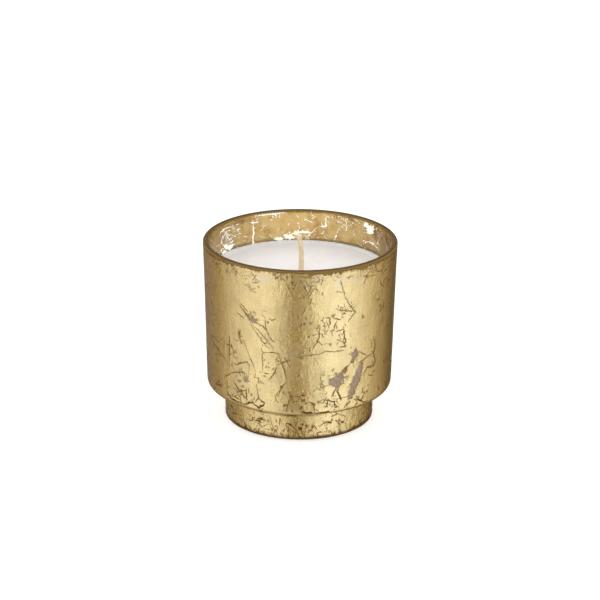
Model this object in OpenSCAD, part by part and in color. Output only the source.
// Candle in a footed glass tumbler.
// The cup is one piece of pressed glass. Torn metal leaf is glued to its outside, a clear amber
// lacquer covers the leaf, and the cup is filled with wax round a single cored wick.
// Millimetres, +Z up, origin at the middle of the ring that the cup stands on.

/* [Glass cup] */
// Height of the bare glass, from its standing ring to the top of its lip
cup_h = 76.5; // [64:0.5:110]
// Outside diameter of the bare glass at its lip
rim_d = 79.5; // [72:0.5:120]
// Thickness of the glass at the lip
wall_t = 2; // [1.5:0.1:3.5]
// Outward lean of the outside of the bowl, in degrees
wall_lean = 1.35; // [0.5:0.05:3]
// Outward lean of the inside of the bowl, in degrees, so that the plunger draws out
bore_lean = 2; // [1:0.1:4]
// Rounding of each edge of the fire-polished lip
lip_round = 0.95; // [0.3:0.05:1.5]
// Rounding at the bottom of the wall, outside
shoulder_round = 2.5; // [1:0.5:6]
// Upward slope of the underside of the bowl, in degrees
underside_slope = 15; // [5:1:25]
// Rounding at the bottom of the wall, inside
well_round = 5; // [2:0.5:10]
// Thickness of the glass from the top of the foot up to the floor of the bowl
floor_t = 4; // [3:0.5:8]

/* [Foot] */
// Diameter of the foot where it stands, bare glass
foot_d = 61.5; // [50:0.5:68]
// Height of the foot, up to the underside of the bowl
foot_h = 12.5; // [8:0.5:20]
// Outward lean of the foot's wall, in degrees
foot_lean = 0.8; // [0:0.1:3]
// Rounding of the foot's lower edge
foot_edge_round = 0.8; // [0.3:0.1:2]
// Fillet between the foot and the bowl
foot_fillet = 0.8; // [0.5:0.1:2]
// Diameter of the recess under the foot
recess_d = 49; // [38:0.5:56]
// Depth of the recess under the foot
recess_h = 2.5; // [1:0.1:5]

/* [Gilding] */
// Thickness of the glue that holds the leaf
glue_t = 0.02; // [0.01:0.01:0.05]
// Thickness of the leaf
leaf_t = 0.1; // [0.08:0.01:0.2]
// Thickness of the lacquer over the leaf
lacquer_t = 0.13; // [0.1:0.01:0.3]
// Bare band between the lip and the top of the leaf
leaf_drop = 1.3; // [1.2:0.1:5]
// Height at which the leaf starts above the surface that the cup stands on
leaf_start = 0.9; // [0.7:0.1:4]
// Height at which the lacquer starts above the surface that the cup stands on
lacquer_start = 0.5; // [0.2:0.1:0.6]
// How far the leaf of the bowl runs down the foot
leaf_lap = 1.2; // [0.6:0.1:3]

/* [Wax] */
// Distance from the top of the lip down to the wax
wax_drop = 14.1; // [6:0.1:25]
// Gap that the wax leaves at the wall as it sets and shrinks
wax_gap = 0.12; // [0.05:0.01:0.4]
// Radius of the curve where the wax climbs the wall
climb_round = 3; // [1:0.5:6]
// Angle through which that curve runs
climb_turn = 50; // [20:5:70]

/* [Wick] */
// Distance of the wick from the middle of the cup
wick_offset = 0.5; // [0:0.1:4]
// Diameter of the stiff core
core_d = 0.8; // [0.5:0.05:1.2]
// Thickness of the cotton braid round the core
braid_t = 0.6; // [0.3:0.05:1]
// Thickness of the priming wax on the braid
prime_t = 0.16; // [0.1:0.01:0.3]
// Length of wick that stands straight above the wax
wick_straight = 3; // [1:0.5:10]
// Radius of the bend in the wick's free end
bend_r = 82; // [30:1:300]
// Length of the bent end, along its curve
bend_length = 13.2; // [4:0.1:30]

/* [Wick sustainer] */
// Diameter of the stamped disc
tab_d = 20; // [12:0.5:30]
// Thickness of the tinplate
tab_t = 0.3; // [0.2:0.05:0.5]
// Height of the crimped neck
neck_h = 6; // [3:0.5:10]
// Fillet between the disc and the neck
neck_fillet = 0.8; // [0.3:0.1:1.5]
// Diameter of the adhesive pad under the disc
sticker_d = 18; // [10:0.5:28]
// Thickness of the adhesive pad
sticker_t = 0.8; // [0.3:0.1:1.5]

/* [Base label] */
// Clearance between the label and the wall of the recess
label_gap = 2; // [0.5:0.5:6]
// Thickness of the label
label_t = 0.15; // [0.1:0.05:0.3]

/* [Hidden] */
$fn = 96;

arc_step = 10;
rim_r = rim_d / 2;
foot_r = foot_d / 2;
floor_z = foot_h + floor_t;
wax_z = cup_h - wax_drop;
lip_r = min(lip_round, 0.48 * wall_t);
leaf_face = glue_t + leaf_t;
lacquer_face = leaf_face + lacquer_t;
leaf_top = cup_h - leaf_drop;
leaf_seam = foot_h - leaf_lap;
braid_d = core_d + 2 * braid_t;
wick_d = braid_d + 2 * prime_t;
tab_z = floor_z + sticker_t;
bend_z = wax_z + wick_straight;
bend_turn = bend_length / bend_r * 180 / PI;

// ---- Geometry helpers ----

function unit(v) = v / norm(v);

// Where the line through p at angle a crosses the line through q at angle b
function crossing(p, a, q, b) =
    let (
        d = q - p,
        s = (d.x * sin(b) - d.y * cos(b)) / sin(b - a)
    )
    p + s * [cos(a), sin(a)];

// The arc that rounds one corner [x, y, radius], or the corner itself if its radius is 0
function corner_arc(before, corner, after) =
    let (
        p = [corner.x, corner.y],
        u = unit([before.x, before.y] - p),
        w = unit([after.x, after.y] - p),
        half = acos(u * w) / 2,
        middle = p + unit(u + w) * corner.z / sin(half),
        first = p + u * corner.z / tan(half) - middle,
        last = p + w * corner.z / tan(half) - middle,
        start = atan2(first.y, first.x),
        side = sign(first.x * last.y - first.y * last.x),
        sweep = side * (180 - 2 * half),
        steps = ceil(abs(sweep) / arc_step)
    )
    corner.z == 0 ? [p] : [
        for (i = [0 : steps])
            middle + corner.z * [cos(start + sweep * i / steps), sin(start + sweep * i / steps)]
    ];

// A closed outline with its corners rounded
function rounded(corners) =
    let (n = len(corners))
    [
        for (i = [0 : n - 1])
            each corner_arc(corners[(i + n - 1) % n], corners[i], corners[(i + 1) % n])
    ];

function turned_round(path) = [for (i = [len(path) - 1 : -1 : 0]) path[i]];

// ---- Outlines of the cup, as [radius, height] ----

// Corners of the outside of the cup, grown outward by t, from the standing ring to the lip
function outside_corners(t) =
    let (
        foot_top_r = foot_r + foot_h * tan(foot_lean),
        foot_line = [foot_r + t / cos(foot_lean), 0],
        underside_line = [foot_top_r, foot_h - t / cos(underside_slope)],
        wall_line = [rim_r + t / cos(wall_lean), cup_h],
        base = crossing(foot_line, 90 - foot_lean, [0, -t], 0),
        waist = crossing(foot_line, 90 - foot_lean, underside_line, underside_slope),
        shoulder = crossing(underside_line, underside_slope, wall_line, 90 - wall_lean),
        lip = crossing(wall_line, 90 - wall_lean, [0, cup_h + t], 0)
    )
    [
        [base.x, base.y, foot_edge_round + t],
        [waist.x, waist.y, foot_fillet - t],
        [shoulder.x, shoulder.y, shoulder_round + t],
        [lip.x, lip.y, lip_r + t]
    ];

// Corners of the inside of the cup, drawn in from the wall by gap, from the lip to the floor
function inside_corners(gap) =
    let (
        bore_line = [rim_r - wall_t - gap / cos(bore_lean), cup_h],
        well = crossing(bore_line, 90 - bore_lean, [0, floor_z], 0)
    )
    [
        [bore_line.x, bore_line.y, lip_r],
        [well.x, well.y, well_round]
    ];

// The outside of the cup grown by t, between two heights
function skin(t, low, high) =
    let (
        path = rounded(concat([[0, -t, 0]], outside_corners(t), [[0, cup_h + t, 0]])),
        radii = [for (p = path) if (p.x > 0) [p.y, p.x]]
    )
    concat(
        [[lookup(low, radii), low]],
        [for (p = path) if (p.x > 0 && p.y > low && p.y < high) p],
        [[lookup(high, radii), high]]
    );

// ---- Glass cup and its gilding ----

module glass_cup() {
    recess = [
        [0, recess_h, 0],
        [recess_d / 2, recess_h, 1],
        [recess_d / 2 + recess_h * tan(15), 0, 0.5]
    ];
    color("lightcyan", 0.6)
        rotate_extrude()
            polygon(rounded(concat(recess, outside_corners(0), inside_corners(0), [[0, floor_z, 0]])));
}

module leaf(low, high) {
    color("goldenrod")
        rotate_extrude()
            polygon(concat(skin(leaf_face, low, high), turned_round(skin(glue_t, low, high))));
}

module leaf_bowl() {
    leaf(leaf_seam, leaf_top);
}

module leaf_foot() {
    leaf(leaf_start, leaf_seam);
}

module lacquer() {
    color("saddlebrown", 0.35)
        rotate_extrude()
            polygon(concat(
                skin(lacquer_face, lacquer_start, cup_h + lacquer_face),
                turned_round(skin(glue_t, leaf_top, cup_h + glue_t)),
                turned_round(skin(leaf_face, leaf_start, leaf_top)),
                turned_round(skin(glue_t, lacquer_start, leaf_start))
            ));
}

// ---- Wax ----

module wax_fill() {
    well = inside_corners(wax_gap)[1];
    rise = climb_round * (1 - cos(climb_turn));
    edge = crossing(well_point(well), 90 - bore_lean, [0, wax_z + rise], 0);
    climb = [
        for (a = [climb_turn : -climb_turn / 5 : 0])
            [edge.x - climb_round * (sin(climb_turn) - sin(a)), wax_z + climb_round * (1 - cos(a))]
    ];
    section = concat([[0, floor_z, 0], well], [for (p = climb) [p.x, p.y, 0]], [[0, wax_z, 0]]);
    color("ivory")
        difference() {
            rotate_extrude()
                polygon(rounded(section));
            translate([wick_offset, 0, 0]) {
                translate([0, 0, floor_z])
                    cylinder(d = wick_d, h = cup_h);
                sticker_shape();
                rotate_extrude()
                    polygon(tab_outline(0));
            }
        }
}

function well_point(corner) = [corner.x, corner.y];

// ---- Wick ----

// A tube or rod that follows the wick, from the sustainer to the cut end
module wick_run(outer_d, inner_d) {
    translate([wick_offset, 0, tab_z])
        linear_extrude(bend_z - tab_z)
            ring(outer_d, inner_d);
    translate([wick_offset - bend_r, 0, bend_z])
        rotate([90, 0, 0])
            rotate_extrude(angle = bend_turn)
                translate([bend_r, 0])
                    ring(outer_d, inner_d);
}

module ring(outer_d, inner_d) {
    difference() {
        circle(d = outer_d);
        if (inner_d > 0)
            circle(d = inner_d);
    }
}

module wick_core() {
    color("wheat")
        wick_run(core_d, 0);
}

module wick_braid() {
    color("linen")
        wick_run(braid_d, core_d);
}

module wick_wax_coat() {
    color("blanchedalmond")
        wick_run(wick_d, braid_d);
}

// ---- Sustainer and its pad ----

// Half section of the sustainer, open at the radius bore_r
function tab_outline(bore_r) =
    let (
        neck_r = wick_d / 2 + tab_t,
        neck_z = tab_z + neck_h
    )
    rounded([
        [bore_r, tab_z, 0],
        [tab_d / 2, tab_z, 0],
        [tab_d / 2, tab_z + tab_t, 0],
        [neck_r, tab_z + tab_t, neck_fillet],
        [neck_r, neck_z, 0],
        [bore_r, neck_z, 0]
    ]);

module wick_sustainer() {
    color("silver")
        translate([wick_offset, 0, 0])
            rotate_extrude()
                polygon(tab_outline(wick_d / 2));
}

module sticker_shape() {
    translate([0, 0, floor_z])
        cylinder(d = sticker_d, h = sticker_t);
}

module wick_sticker() {
    color("white")
        translate([wick_offset, 0, 0])
            sticker_shape();
}

// ---- Label ----

module base_label() {
    color("whitesmoke")
        translate([0, 0, recess_h - label_t])
            cylinder(d = recess_d - 2 * label_gap, h = label_t);
}

glass_cup();
leaf_bowl();
leaf_foot();
lacquer();
wax_fill();
wick_core();
wick_braid();
wick_wax_coat();
wick_sustainer();
wick_sticker();
base_label();
